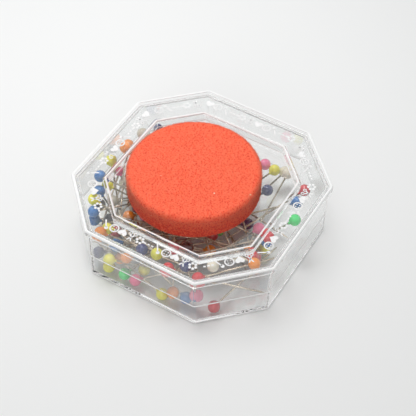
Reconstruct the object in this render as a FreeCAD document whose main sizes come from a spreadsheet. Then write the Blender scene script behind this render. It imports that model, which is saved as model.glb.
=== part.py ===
import FreeCAD, Part
import math
import os
import random
import re

import Sketcher
from FreeCAD import Placement, Rotation, Vector

# An eight-sided clear box of dressmaker's pins. Its lift-off lid carries a foam disc to stick pins in.
# Frame: millimetres, +Z up, origin at the centre of the tray's underside, which rests on the table.
# The long sides face along X and Y, and the shorter corner sides face along the diagonals.

doc = FreeCAD.newDocument("pin_box")

# ---------------------------------------------------------------------------------------------
# Driving sizes
# ---------------------------------------------------------------------------------------------

SIZES = [
    ("rim_flat", 38.0, "centre to the lid rim's long sides"),
    ("rim_corner", 41.0, "centre to the lid rim's corner sides"),
    ("rim_proud", 1.2, "how far the rim bead stands out from the skirt"),
    ("rim_tall", 2.3, "height of the rim bead"),
    ("box_tall", 22.3, "tray's underside to the top of the lid"),
    ("ledge_tall", 9.0, "tray's underside to the ledge that the lid sits on"),
    ("skirt_wall", 0.65, "wall of the lid's skirt"),
    ("skirt_gap", 0.1, "sliding clearance between the skirt and the tray's inner wall"),
    ("inner_wall", 0.55, "tray's inner wall, which the skirt slides over"),
    ("tray_floor", 1.2, "floor of the tray"),
    ("wall_top_gap", 0.4, "top of the tray's inner wall to the underside of the lid"),
    ("panel_thick", 1.2, "top panel of the lid"),
    ("foam_room", 5.0, "edge of a centred foam disc to the well's long sides"),
    ("foam_corner_room", 8.0, "edge of a centred foam disc to the well's corner sides"),
    ("well_deep", 3.0, "depth of the well"),
    ("well_wall", 1.2, "side wall of the well"),
    ("well_floor", 1.2, "floor of the well"),
    ("corner_round", 1.2, "radius of the box's upright outer corners"),
    ("fold_round", 0.5, "radius of the upright corners where lid and tray nest"),
    ("edge_round", 0.45, "radius of the rim's edges and of the underside's edge"),
    ("lip_round", 0.3, "radius of the well's upper edge"),
    ("foam_radius", 22.0, "foam disc"),
    ("foam_thick", 8.3, "foam disc"),
    ("foam_shift_x", -2.2, "foam disc's centre: it is stuck down by hand, off centre"),
    ("foam_shift_y", -1.3, "foam disc's centre"),
    ("tape_inset", 3.0, "foam disc's edge to the edge of the adhesive disc"),
    ("tape_thick", 0.2, "adhesive disc under the foam"),
    ("head_radius", 2.0, "head of a pin"),
    ("shank_radius", 0.3, "shank of a pin"),
    ("shank_reach", 32.0, "centre of the head to the point"),
    ("point_taper", 2.4, "length of the ground point"),
    ("pin_gap", 0.12, "least space between two pins, and between a pin and the tray"),
    ("lid_gap", 0.35, "least space between a pin and the lid"),
]

sheet = doc.addObject("Spreadsheet::Sheet", "sizes")
for row, (alias, value, note) in enumerate(SIZES, start=1):
    sheet.set(f"A{row}", alias)
    sheet.set(f"B{row}", str(value))
    sheet.set(f"C{row}", note)
    sheet.setAlias(f"B{row}", alias)
doc.recompute()

ALIASES = {alias for alias, _, _ in SIZES}


def moved_in(outline, *aliases):
    """An octagon whose sides are nearer the centre by the sum of some sizes."""
    return tuple(" - ".join((side,) + aliases) for side in outline)


# Each octagon is two expressions: centre to the long sides, and centre to the corner sides.
RIM = ("rim_flat", "rim_corner")
SKIRT_OUTSIDE = moved_in(RIM, "rim_proud")
SKIRT_INSIDE = moved_in(SKIRT_OUTSIDE, "skirt_wall")
INNER_WALL_OUTSIDE = moved_in(SKIRT_INSIDE, "skirt_gap")
CAVITY = moved_in(INNER_WALL_OUTSIDE, "inner_wall")
WELL = ("foam_radius + foam_room", "foam_radius + foam_corner_room")
WELL_OUTSIDE = tuple(side + " + well_wall" for side in WELL)

# Heights above the underside that more than one feature uses.
PANEL_UNDERSIDE = "box_tall - panel_thick"
WALL_TOP = "box_tall - panel_thick - wall_top_gap"
WELL_TOP_FACE = "box_tall - well_deep"
WELL_UNDERSIDE = "box_tall - well_deep - well_floor"


def in_sheet(expression):
    """The same expression with each alias looked up in the sheet, as setExpression wants it."""
    return re.sub(
        r"[a-z_]+", lambda word: ("sizes." if word[0] in ALIASES else "") + word[0], expression
    )


def value_of(expression):
    """The value, in millimetres, of a sum or difference of aliases and numbers."""
    total = 0.0
    sign = 1
    for word in expression.split():
        if word in "+-":
            sign = 1 if word == "+" else -1
        else:
            total += sign * float(getattr(sheet, word) if word in ALIASES else word)
    return total


# ---------------------------------------------------------------------------------------------
# Eight-sided features
# ---------------------------------------------------------------------------------------------

# The octagon's corners in turn: the signs of x and y, and whether the corner ends a side facing X.
CORNERS = [
    (1, 1, True), (1, 1, False), (-1, 1, False), (-1, 1, True),
    (-1, -1, True), (-1, -1, False), (1, -1, False), (1, -1, True),
]


def corner_place(outline):
    """How far a corner of the octagon is from the centre, across its long side and along it."""
    far = value_of(outline[0])
    return far, value_of(outline[1]) * math.sqrt(2) - far


def octagon(body, name, height, outline):
    """Sketch an octagon at a height above the underside."""
    sketch = body.newObject("Sketcher::SketchObject", name)
    plane = next(p for p in body.Origin.OriginFeatures if p.Role == "XY_Plane")
    sketch.AttachmentSupport = [(plane, "")]
    sketch.MapMode = "FlatFace"
    sketch.setExpression("AttachmentOffset.Base.z", in_sheet(height))
    flat = f"({outline[0]})"
    half_side = f"(({outline[1]}) * sqrt(2) - {flat})"
    far, near = corner_place(outline)
    points = []
    for sign_x, sign_y, faces_x in CORNERS:
        across, along = (far, near) if faces_x else (near, far)
        points.append(Vector(sign_x * across, sign_y * along, 0))
    for start in range(8):
        sketch.addGeometry(Part.LineSegment(points[start], points[(start + 1) % 8]), False)
    for side in range(8):
        sketch.addConstraint(Sketcher.Constraint("Coincident", side, 2, (side + 1) % 8, 1))
    for side, (sign_x, sign_y, faces_x) in enumerate(CORNERS):
        across, along = (flat, half_side) if faces_x else (half_side, flat)
        for kind, sign, length, place in (
            ("DistanceX", sign_x, across, points[side].x),
            ("DistanceY", sign_y, along, points[side].y),
        ):
            number = sketch.addConstraint(Sketcher.Constraint(kind, -1, 1, side, 1, place))
            sketch.renameConstraint(number, f"{kind}_{side}")
            sketch.setExpression(f"Constraints.{kind}_{side}", in_sheet(f"{sign} * {length}"))
    return sketch


def slab(body, name, bottom, top, outline):
    """Add a solid octagon between two heights."""
    pad = body.newObject("PartDesign::Pad", name)
    pad.Profile = octagon(body, name + "_outline", bottom, outline)
    pad.setExpression("Length", in_sheet(f"({top}) - ({bottom})"))
    doc.recompute()
    return pad


def hollow(body, name, opening, end, outline):
    """Cut an octagon from its opening, at one height, to its end at another, and see that it cut."""
    before = body.Shape.Volume
    pocket = body.newObject("PartDesign::Pocket", name)
    pocket.Profile = octagon(body, name + "_outline", opening, outline)
    rises = value_of(end) > value_of(opening)
    depth = f"({end}) - ({opening})" if rises else f"({opening}) - ({end})"
    pocket.setExpression("Length", in_sheet(depth))
    pocket.Reversed = rises
    doc.recompute()
    if body.Shape.Volume >= before:
        raise RuntimeError(name + " cut nothing")
    return pocket


def rounded(body, name, radius, wanted):
    """Round the edges of the body's tip that the test picks out."""
    base = body.Tip
    names = [f"Edge{i}" for i, edge in enumerate(base.Shape.Edges, start=1) if wanted(edge)]
    if not names:
        raise RuntimeError(name + " found no edge")
    fillet = body.newObject("PartDesign::Fillet", name)
    fillet.Base = (base, names)
    fillet.setExpression("Radius", in_sheet(radius))
    doc.recompute()
    return fillet


def upright_at(outline):
    """A test for upright edges on the corners of one octagon."""
    reach = math.hypot(*corner_place(outline))

    def test(edge):
        box = edge.BoundBox
        upright = box.ZLength > 0.5 and box.XLength < 0.01 and box.YLength < 0.01
        return upright and abs(math.hypot(box.Center.x, box.Center.y) - reach) < 0.02

    return test


def level_at(height, outline):
    """A test for the edges that run level round one octagon, rounded corners among them."""
    level = value_of(height)
    far, wide = value_of(outline[0]), value_of(outline[1])

    def outwards(point):
        return max(
            abs(point.x) - far, abs(point.y) - far, (abs(point.x) + abs(point.y)) / math.sqrt(2) - wide
        )

    def test(edge):
        box = edge.BoundBox
        middle = edge.valueAt((edge.FirstParameter + edge.LastParameter) / 2)
        on_level = box.ZLength < 0.01 and abs(box.Center.z - level) < 0.01
        return on_level and abs(outwards(middle)) < 0.25

    return test


def new_body(label):
    body = doc.addObject("PartDesign::Body", label)
    body.Label = label
    body.Placement = Placement()
    return body


# ---------------------------------------------------------------------------------------------
# Tray: clear moulding with a ledge outside and a thin inner wall that the lid slides over
# ---------------------------------------------------------------------------------------------

def make_tray():
    tray = new_body("tray")
    slab(tray, "lower_wall", "0", "ledge_tall", SKIRT_OUTSIDE)
    slab(tray, "inner_wall_block", "ledge_tall", WALL_TOP, INNER_WALL_OUTSIDE)
    rounded(tray, "outer_corners", "corner_round", upright_at(SKIRT_OUTSIDE))
    rounded(tray, "nesting_corners", "fold_round", upright_at(INNER_WALL_OUTSIDE))
    rounded(tray, "underside_edge", "edge_round", level_at("0", SKIRT_OUTSIDE))
    hollow(tray, "cavity", WALL_TOP, "tray_floor", CAVITY)
    rounded(tray, "cavity_corners", "fold_round", upright_at(CAVITY))
    return tray


# ---------------------------------------------------------------------------------------------
# Lid: clear moulding with a rim bead, a skirt and a sunk well for the foam
# ---------------------------------------------------------------------------------------------

def make_lid():
    lid = new_body("lid")
    slab(lid, "skirt_block", "ledge_tall", "box_tall", SKIRT_OUTSIDE)
    slab(lid, "rim_bead", "box_tall - rim_tall", "box_tall", RIM)
    rounded(lid, "rim_corners", "corner_round", upright_at(RIM))
    rounded(lid, "skirt_corners", "corner_round", upright_at(SKIRT_OUTSIDE))
    rounded(lid, "rim_upper_edge", "edge_round", level_at("box_tall", RIM))
    rounded(lid, "rim_lower_edge", "edge_round", level_at("box_tall - rim_tall", RIM))
    hollow(lid, "skirt_hollow", "ledge_tall", PANEL_UNDERSIDE, SKIRT_INSIDE)
    slab(lid, "well_block", WELL_UNDERSIDE, "box_tall", WELL_OUTSIDE)
    hollow(lid, "well", "box_tall", WELL_TOP_FACE, WELL)
    rounded(lid, "well_lip", "lip_round", level_at("box_tall", WELL))
    return lid


# ---------------------------------------------------------------------------------------------
# Foam disc and the adhesive disc that holds it in the well
# ---------------------------------------------------------------------------------------------

def make_disc(label, radius, thickness, bottom):
    disc = doc.addObject("Part::Cylinder", label)
    disc.Label = label
    disc.setExpression("Radius", in_sheet(radius))
    disc.setExpression("Height", in_sheet(thickness))
    disc.setExpression("Placement.Base.x", in_sheet("foam_shift_x"))
    disc.setExpression("Placement.Base.y", in_sheet("foam_shift_y"))
    disc.setExpression("Placement.Base.z", in_sheet(bottom))
    return disc


# ---------------------------------------------------------------------------------------------
# One pin: a plastic ball head moulded on a steel shank. It points along +Z, head centre at 0.
# ---------------------------------------------------------------------------------------------

def make_pin_patterns():
    shaft = doc.addObject("Part::Cylinder", "shank_shaft")
    shaft.setExpression("Radius", in_sheet("shank_radius"))
    shaft.setExpression("Height", in_sheet("shank_reach - point_taper"))
    point = doc.addObject("Part::Cone", "shank_point")
    point.setExpression("Radius1", in_sheet("shank_radius"))
    point.setExpression("Radius2", in_sheet("shank_radius * 0.1"))
    point.setExpression("Height", in_sheet("point_taper"))
    point.setExpression("Placement.Base.z", in_sheet("shank_reach - point_taper"))
    shank = doc.addObject("Part::Fuse", "shank_pattern")
    shank.Base = shaft
    shank.Tool = point
    ball = doc.addObject("Part::Sphere", "head_ball")
    ball.setExpression("Radius", in_sheet("head_radius"))
    bore = doc.addObject("Part::Cylinder", "head_bore")
    bore.setExpression("Radius", in_sheet("shank_radius"))
    bore.setExpression("Height", in_sheet("head_radius * 2"))
    head = doc.addObject("Part::Cut", "head_pattern")
    head.Base = ball
    head.Tool = bore
    doc.recompute()
    return shank, head


# ---------------------------------------------------------------------------------------------
# The heap of pins
# ---------------------------------------------------------------------------------------------

# Pins on the outside of the heap, as they lie: head's x, y and z, the shank's heading anticlockwise
# from +X, and how far it dips below level, in millimetres and degrees.
LAID_PINS = {
    "blue": [
        (-31.3, -13.5, 17.8, 15, 20), (-29.6, -15.6, 14.0, -25, 14), (-26.6, -27.4, 17.2, 70, 22),
        (-25.4, -27.0, 12.8, 35, 14), (28.1, 14.2, 14.0, 215, 14), (12.4, -31.9, 3.4, 160, -2),
    ],
    "yellow": [
        (-27.8, -22.2, 17.0, 5, 20), (-31.8, -3.8, 16.0, -50, 16), (3.0, -31.4, 15.0, 150, 14),
        (13.0, 27.6, 9.0, 250, 4), (-15.1, -32.6, 6.6, 20, 2), (-15.2, -34.2, 3.3, 75, 0),
        (-4.6, -29.8, 3.6, 100, 0), (6.3, -34.0, 3.3, 165, 0),
    ],
    "orange": [
        (-32.4, 1.6, 17.0, -60, 18), (-31.8, 5.6, 16.6, -75, 20), (-19.0, -31.4, 15.0, 20, 14),
        (12.4, -15.6, 10.0, 190, 8), (29.8, -16.4, 16.0, 165, 16), (-10.9, -30.6, 5.6, 60, 3),
        (9.0, -32.2, 5.0, 120, 4), (-16.4, -19.6, 12.0, 60, 10),
    ],
    "pink": [
        (-29.4, -5.2, 14.0, -40, 12), (10.6, 27.2, 9.0, 235, 2), (23.0, -2.5, 14.0, 240, 10),
        (-5.6, -31.2, 3.5, 45, 0), (16.8, -30.0, 9.4, 140, 8), (-11.2, -17.6, 13.0, 35, 10),
    ],
    "white": [
        (-26.4, -9.4, 10.6, -75, 6), (-31.4, 11.8, 17.0, -80, 22), (18.8, -25.0, 15.4, 130, 14),
        (19.0, -13.4, 12.0, 140, 6), (14.6, 28.2, 9.0, 262, 4), (17.6, 27.2, 10.0, 275, 6),
    ],
    "navy": [
        (-5.1, -30.2, 15.0, 170, 12), (11.7, -28.9, 14.0, 175, 12), (-29.0, 18.7, 15.5, -70, 20),
        (16.2, 17.0, 10.0, 250, 4), (-18.5, -31.0, 8.0, 40, 4),
    ],
    "red": [
        (8.4, -30.2, 14.2, 20, 12), (16.6, -30.0, 15.4, 60, 14), (26.5, -11.4, 14.0, 130, 10),
        (28.0, -5.0, 15.0, 220, 12), (27.9, 19.6, 15.0, 240, 16), (21.7, -29.2, 3.3, 80, -2),
        (3.4, -22.4, 13.0, 120, 8),
    ],
    "green": [(31.6, 6.2, 15.0, 235, 16)],
    "black": [(-27.6, -20.6, 12.4, -5, 10), (6.0, -20.0, 12.0, 200, 8)],
}

# The rest lie under those, the way they fell: how many of each colour.
LOOSE_PINS = {
    "white": 4, "yellow": 4, "orange": 4, "red": 6, "pink": 4,
    "green": 5, "blue": 5, "navy": 7, "black": 6,
}
DROP_SEED = 11
DROP_HEIGHTS = (3.0, 13.0)
DROP_DIPS = (-8.0, 12.0)
FALL_STEPS = 260
FALL_STEP = 0.06
REST_STEPS = 500
NEIGHBOUR_STEPS = 10
NEIGHBOUR_REACH = 6.0
TOUCH = 0.005


def clamped(value, low, high):
    return low if value < low else high if value > high else value


def nearest_on_two_lines(pin, other):
    """Where two shanks come nearest: the share of each line from its head, and the vector between."""
    ax, ay, az = pin[3] - pin[0], pin[4] - pin[1], pin[5] - pin[2]
    bx, by, bz = other[3] - other[0], other[4] - other[1], other[5] - other[2]
    rx, ry, rz = pin[0] - other[0], pin[1] - other[1], pin[2] - other[2]
    aa = ax * ax + ay * ay + az * az
    bb = bx * bx + by * by + bz * bz
    ab = ax * bx + ay * by + az * bz
    ar = ax * rx + ay * ry + az * rz
    br = bx * rx + by * ry + bz * rz
    spread = aa * bb - ab * ab
    along = clamped((ab * br - ar * bb) / spread, 0.0, 1.0) if spread > 1e-6 * aa * bb else 0.5
    other_along = clamped((ab * along + br) / bb, 0.0, 1.0)
    along = clamped((ab * other_along - ar) / aa, 0.0, 1.0)
    gap = (
        rx + along * ax - other_along * bx,
        ry + along * ay - other_along * by,
        rz + along * az - other_along * bz,
    )
    return along, other_along, gap


def nearest_on_line(point, pin):
    """Where a pin's line comes nearest to a point: the share from its head, and the vector to it."""
    ax, ay, az = pin[3] - pin[0], pin[4] - pin[1], pin[5] - pin[2]
    rx, ry, rz = point[0] - pin[0], point[1] - pin[1], point[2] - pin[2]
    share = clamped((ax * rx + ay * ry + az * rz) / (ax * ax + ay * ay + az * az), 0.0, 1.0)
    return share, (rx - share * ax, ry - share * ay, rz - share * az)


def shift(pin, share, dx, dy, dz):
    """Move the point of a pin at a share of its length: both ends follow as a rigid rod's would."""
    near = 1.0 - share
    weight = near * near + share * share
    near /= weight
    far = share / weight
    pin[0] += near * dx
    pin[1] += near * dy
    pin[2] += near * dz
    pin[3] += far * dx
    pin[4] += far * dy
    pin[5] += far * dz


def part_pair(pin, share, other, other_share, gap, needed, yields):
    """Push two pins apart along the vector between their nearest points.

    The first pin takes the share of the push that it yields, and the second takes the rest.
    """
    distance = math.sqrt(gap[0] * gap[0] + gap[1] * gap[1] + gap[2] * gap[2])
    if distance >= needed:
        return False
    if distance < 1e-6:
        gap, distance = (0.0, 0.0, 1e-6), 1e-6
    push = (needed - distance) / distance * yields
    back = (needed - distance) / distance - push
    shift(pin, share, gap[0] * push, gap[1] * push, gap[2] * push)
    shift(other, other_share, -gap[0] * back, -gap[1] * back, -gap[2] * back)
    return needed - distance > TOUCH


class Heap:
    """Pins as rigid rods with a ball at one end, each a list of its head's and point's x, y, z."""

    def __init__(self):
        self.head = value_of("head_radius")
        self.shank = value_of("shank_radius")
        self.reach = value_of("shank_reach")
        self.gap = value_of("pin_gap")
        self.lid_gap = value_of("lid_gap")
        self.floor = value_of("tray_floor")
        self.panel = value_of(PANEL_UNDERSIDE)
        self.well = value_of(WELL_UNDERSIDE)
        self.walls = self.side_planes(CAVITY)
        self.well_sides = self.side_planes(WELL_OUTSIDE)
        self.pins = []
        self.colours = []
        self.laid = []

    @staticmethod
    def side_planes(outline):
        """The eight sides of an octagon, as outward normals and their distances."""
        flat, corner = value_of(outline[0]), value_of(outline[1])
        planes = []
        for turn in range(8):
            angle = math.radians(45 * turn)
            planes.append((math.cos(angle), math.sin(angle), corner if turn % 2 else flat))
        return planes

    def add(self, colour, x, y, z, heading, dip, laid):
        level = self.reach * math.cos(math.radians(dip))
        end_x = x + level * math.cos(math.radians(heading))
        end_y = y + level * math.sin(math.radians(heading))
        end_z = z - self.reach * math.sin(math.radians(dip))
        self.pins.append([x, y, z, end_x, end_y, end_z])
        self.colours.append(colour)
        self.laid.append(laid)

    def keep_inside(self, pin, gap):
        """Keep one pin inside the tray, above its floor, and under the lid's panel and well."""
        for first, radius in ((0, self.head), (3, self.shank)):
            for normal_x, normal_y, far in self.walls:
                out = pin[first] * normal_x + pin[first + 1] * normal_y - (far - radius - gap)
                if out > 0:
                    pin[first] -= out * normal_x
                    pin[first + 1] -= out * normal_y
            low = self.floor + radius + gap
            high = self.panel - radius - self.lid_gap
            pin[first + 2] = clamped(pin[first + 2], low, high)
        self.keep_under_well(pin)

    def keep_under_well(self, pin):
        """Lower whatever stretch of a pin, or its head, lies beneath the well's floor."""
        near, far = 0.0, 1.0
        for normal_x, normal_y, distance in self.well_sides:
            reach = distance + self.shank + self.lid_gap
            at_head = pin[0] * normal_x + pin[1] * normal_y - reach
            at_point = pin[3] * normal_x + pin[4] * normal_y - reach
            if at_head > 0 and at_point > 0:
                return
            if at_head > 0:
                near = max(near, at_head / (at_head - at_point))
            elif at_point > 0:
                far = min(far, at_head / (at_head - at_point))
        if near < far:
            ceiling = self.well - self.shank - self.lid_gap
            for share in (near, far):
                over = pin[2] + share * (pin[5] - pin[2]) - ceiling
                if over > 0:
                    shift(pin, share, 0.0, 0.0, -over)
        beside = max(
            pin[0] * normal_x + pin[1] * normal_y - distance
            for normal_x, normal_y, distance in self.well_sides
        )
        if beside < self.head + self.lid_gap:
            pin[2] = min(pin[2], self.well - self.head - self.lid_gap)

    def straighten(self, pin):
        """Give the pin its own length back about its middle."""
        dx, dy, dz = pin[3] - pin[0], pin[4] - pin[1], pin[5] - pin[2]
        ratio = (self.reach / math.sqrt(dx * dx + dy * dy + dz * dz) - 1.0) / 2
        pin[0] -= dx * ratio
        pin[1] -= dy * ratio
        pin[2] -= dz * ratio
        pin[3] += dx * ratio
        pin[4] += dy * ratio
        pin[5] += dz * ratio

    def near_pairs(self):
        pairs = []
        for i, pin in enumerate(self.pins):
            for j in range(i + 1, len(self.pins)):
                gap = nearest_on_two_lines(pin, self.pins[j])[2]
                if gap[0] ** 2 + gap[1] ** 2 + gap[2] ** 2 < NEIGHBOUR_REACH ** 2:
                    yields = 0.5 + 0.4 * (self.laid[j] - self.laid[i])
                    pairs.append((pin, self.pins[j], yields))
        return pairs

    def part_all(self, pairs, gap):
        """Push apart every pair that is nearer than the gap, and count them."""
        heads, shanks = 2 * self.head + gap, 2 * self.shank + gap
        mixed = self.head + self.shank + gap
        touching = 0
        for pin, other, yields in pairs:
            between = (pin[0] - other[0], pin[1] - other[1], pin[2] - other[2])
            touching += part_pair(pin, 0.0, other, 0.0, between, heads, yields)
            share, away = nearest_on_line(pin, other)
            touching += part_pair(pin, 0.0, other, share, away, mixed, yields)
            share, away = nearest_on_line(other, pin)
            touching += part_pair(other, 0.0, pin, share, away, mixed, 1 - yields)
            share, other_share, away = nearest_on_two_lines(pin, other)
            touching += part_pair(pin, share, other, other_share, away, shanks, yields)
        return touching

    def settle(self):
        """Let the loose pins fall, then move every pin until none touches another."""
        pairs = []
        for step in range(FALL_STEPS + REST_STEPS):
            if step % NEIGHBOUR_STEPS == 0:
                pairs = self.near_pairs()
            falling = step < FALL_STEPS
            if falling:
                for pin, laid in zip(self.pins, self.laid):
                    if not laid:
                        pin[2] -= FALL_STEP
                        pin[5] -= FALL_STEP
            touching = self.part_all(pairs, self.gap * 1.6)
            for pin in self.pins:
                self.straighten(pin)
                self.keep_inside(pin, self.gap * 1.3)
                self.straighten(pin)
            if not falling and not touching:
                break
        return step


def in_heap(x, y):
    """Whether a place is under the heap: the back right of the tray and one front corner are bare."""
    back = 20 if abs(x) > 18 else 7
    return y < back and x - y < 38


def drop_place(heap, draw):
    """Draw a place and a heading for a loose pin, with both ends in the tray and in the heap."""
    room = value_of(CAVITY[0]) - heap.head
    corner_room = (value_of(CAVITY[1]) - heap.head) * math.sqrt(2)
    while True:
        x, y = draw.uniform(-room, room), draw.uniform(-room, room)
        heading = draw.uniform(0, 360)
        end_x = x + heap.reach * math.cos(math.radians(heading))
        end_y = y + heap.reach * math.sin(math.radians(heading))
        ends = ((x, y), (end_x, end_y))
        if all(max(abs(u), abs(v)) < room and abs(u) + abs(v) < corner_room for u, v in ends):
            if in_heap(x, y) and in_heap(end_x, end_y):
                return x, y, heading


def lay_pins():
    """Lay the outer pins, drop the loose ones among them and let the heap settle."""
    heap = Heap()
    for colour, pins in LAID_PINS.items():
        for x, y, z, heading, dip in pins:
            heap.add(colour, x, y, z, heading, dip, True)
    draw = random.Random(DROP_SEED)
    for colour, count in LOOSE_PINS.items():
        for _ in range(count):
            x, y, heading = drop_place(heap, draw)
            z, dip = draw.uniform(*DROP_HEIGHTS), draw.uniform(*DROP_DIPS)
            heap.add(colour, x, y, z, heading, dip, False)
    steps = heap.settle()
    print(f"{len(heap.pins)} pins settled in {steps} steps")
    return heap


def make_pin_group(label, pattern, places):
    """One node of separate solids: copies of a pattern at each place."""
    group = doc.addObject("Part::Feature", label)
    group.Label = label
    copies = []
    for place in places:
        copy = pattern.Shape.copy()
        copy.Placement = place
        copies.append(copy)
    group.Shape = Part.makeCompound(copies)
    group.Placement = Placement()
    return group


def make_pins():
    shank_pattern, head_pattern = make_pin_patterns()
    heap = lay_pins()
    groups = []
    for colour in LAID_PINS:
        places = []
        for pin, pin_colour in zip(heap.pins, heap.colours):
            if pin_colour == colour:
                along = Vector(pin[3] - pin[0], pin[4] - pin[1], pin[5] - pin[2])
                turn = Rotation(Vector(0, 0, 1), along)
                places.append(Placement(Vector(pin[0], pin[1], pin[2]), turn))
        groups.append(make_pin_group(colour + "_pin_heads", head_pattern, places))
        groups.append(make_pin_group(colour + "_pin_shanks", shank_pattern, places))
    return groups


# ---------------------------------------------------------------------------------------------
# Assembly
# ---------------------------------------------------------------------------------------------

sub_parts = [
    make_tray(),
    make_lid(),
    make_disc("adhesive_disc", "foam_radius - tape_inset", "tape_thick", WELL_TOP_FACE),
    make_disc("foam_cushion", "foam_radius", "foam_thick", WELL_TOP_FACE + " + tape_thick"),
]
sub_parts += make_pins()
doc.recompute()

for item in doc.Objects:
    if "Invalid" in item.State or "Error" in item.State:
        raise RuntimeError(f"{item.Label} failed: {item.State}")
for part in sub_parts:
    if part.Shape.isNull() or not part.Shape.isValid():
        raise RuntimeError(f"{part.Label} has no valid shape")

os.makedirs("parts", exist_ok=True)
for part in sub_parts:
    part.Shape.exportStep(f"parts/{part.Label}.step")
    print(part.Label, len(part.Shape.Solids), "solids", round(part.Shape.Volume, 1), "mm3")
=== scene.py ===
# %% [markdown]
# # A pin box with a foam cushion in its lid
#
# The object is a clear eight-sided plastic box, about as wide as a palm. Ball-headed dressmaker's pins lie
# loose in its tray. A coral foam disc is stuck in a shallow well in the lid, and pins in use are stuck in
# it. The lid lifts straight off.
#
# The engineering model fixes every size and place. This script loads it as a frame, in metres, and gives
# each piece the surface and the finish that the real one has.

# %% Load the frame
import math

import bpy
import numpy as np
from mathutils import Matrix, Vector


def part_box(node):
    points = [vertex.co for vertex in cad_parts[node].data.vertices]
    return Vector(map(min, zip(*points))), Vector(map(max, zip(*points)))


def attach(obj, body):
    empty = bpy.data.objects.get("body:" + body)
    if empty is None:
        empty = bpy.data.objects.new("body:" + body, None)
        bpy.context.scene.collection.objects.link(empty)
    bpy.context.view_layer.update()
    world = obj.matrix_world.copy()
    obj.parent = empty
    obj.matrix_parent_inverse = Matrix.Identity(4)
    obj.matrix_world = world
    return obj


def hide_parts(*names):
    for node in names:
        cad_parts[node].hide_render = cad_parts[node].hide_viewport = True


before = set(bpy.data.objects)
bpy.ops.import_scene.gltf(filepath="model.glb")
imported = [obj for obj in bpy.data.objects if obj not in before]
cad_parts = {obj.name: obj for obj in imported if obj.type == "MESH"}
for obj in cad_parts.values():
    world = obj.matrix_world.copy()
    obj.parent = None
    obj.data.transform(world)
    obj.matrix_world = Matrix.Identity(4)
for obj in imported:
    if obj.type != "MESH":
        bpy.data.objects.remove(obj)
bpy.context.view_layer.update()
MM = 0.001

# %% [markdown]
# ## The camera
#
# The box is seen from its front-left corner, from about 49 degrees up, with a long lens, so its far side
# is nearly as large as its near side. The camera stands off a point on the lid's top plane. Its three axes
# are worked out from an azimuth, an elevation and a small roll.

# %% Place the camera
LID_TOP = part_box("lid")[1].z
AZIMUTH = math.radians(29.9)
ELEVATION = math.radians(49.07)
ROLL = math.radians(1.27)
DISTANCE = 0.36507
LENS = 98.93
AIM_RIGHT, AIM_AWAY = 0.00219, -0.01209


def camera_axes(azimuth, elevation, roll):
    """Right, up and backwards unit vectors: level axes turned by azimuth, tipped by elevation, rolled."""
    right = np.array([math.cos(azimuth), math.sin(azimuth), 0.0])
    away = np.array([-math.sin(azimuth), math.cos(azimuth), 0.0])
    over = np.array([0.0, 0.0, 1.0])
    forward = math.cos(elevation) * away - math.sin(elevation) * over
    up = math.sin(elevation) * away + math.cos(elevation) * over
    rolled_right = math.cos(roll) * right + math.sin(roll) * up
    rolled_up = math.cos(roll) * up - math.sin(roll) * right
    return rolled_right, rolled_up, -forward


def add_camera():
    """A camera whose three axes are its matrix's columns, one distance back from the point it looks at."""
    right, up, back = camera_axes(AZIMUTH, ELEVATION, ROLL)
    level_right = np.array([math.cos(AZIMUTH), math.sin(AZIMUTH), 0.0])
    level_away = np.array([-math.sin(AZIMUTH), math.cos(AZIMUTH), 0.0])
    aim = level_right * AIM_RIGHT + level_away * AIM_AWAY + np.array([0.0, 0.0, LID_TOP])
    data = bpy.data.cameras.new("camera")
    data.lens = LENS
    data.sensor_width = 36.0
    data.clip_start = 0.01
    data.clip_end = 20.0
    camera = bpy.data.objects.new("camera", data)
    bpy.context.scene.collection.objects.link(camera)
    matrix = np.eye(4)
    matrix[:3, 0], matrix[:3, 1], matrix[:3, 2] = right, up, back
    matrix[:3, 3] = aim + back * DISTANCE
    camera.matrix_world = Matrix(matrix.tolist())
    bpy.context.scene.camera = camera
    return camera


camera = add_camera()
print("camera at", [round(v, 4) for v in camera.matrix_world.translation])

# %% [markdown]
# ## Small tools for meshes
#
# A surface is a grid of points, worked out with numpy as one array. These helpers turn a grid into faces,
# and faces into a Blender mesh. Where a shape has flats that meet small rounded edges, the true normals are
# known from its formula. They are stored in the mesh, so that a flat stays optically flat right up to its
# edge. That matters most on clear plastic, because a shading error bends everything seen through it.

# %% Mesh helpers
def grid_faces(rows, columns, wrap=True):
    """Quads between neighbouring points of a grid of rows by columns; wrap joins the last column on."""
    steps = np.arange(columns if wrap else columns - 1)
    row, step = np.meshgrid(np.arange(rows - 1), steps, indexing="ij")
    following = (step + 1) % columns
    quads = [row * columns + step, row * columns + following]
    quads += [(row + 1) * columns + following, (row + 1) * columns + step]
    return np.stack(quads, axis=-1).reshape(-1, 4)


def new_piece(name, points, faces, material, normals=None):
    """A mesh object at the origin, from points in metres and lists of point numbers."""
    mesh = bpy.data.meshes.new(name)
    mesh.from_pydata(np.asarray(points).tolist(), [], [list(map(int, face)) for face in faces])
    mesh.polygons.foreach_set("use_smooth", np.ones(len(mesh.polygons), bool))
    if normals is not None:
        mesh.normals_split_custom_set_from_vertices(np.asarray(normals).tolist())
    mesh.materials.append(material)
    piece = bpy.data.objects.new(name, mesh)
    bpy.context.scene.collection.objects.link(piece)
    return piece


def triangle_count(piece):
    """A face of n corners makes n - 2 triangles."""
    return int(sum(len(polygon.vertices) - 2 for polygon in piece.data.polygons))


# %% [markdown]
# ## Materials
#
# Every finish is made of nodes. A short helper starts a material with one Principled shader and hands back
# what is needed to wire more nodes to it.

# %% Material helpers
def start_material(name, **sockets):
    """A material whose Principled shader has these socket values; names use _ for a space."""
    material = bpy.data.materials.new(name)
    material.use_nodes = True
    tree = material.node_tree
    shader = tree.nodes["Principled BSDF"]
    for socket, value in sockets.items():
        shader.inputs[socket.replace("_", " ")].default_value = value
    return material, tree, shader


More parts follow.
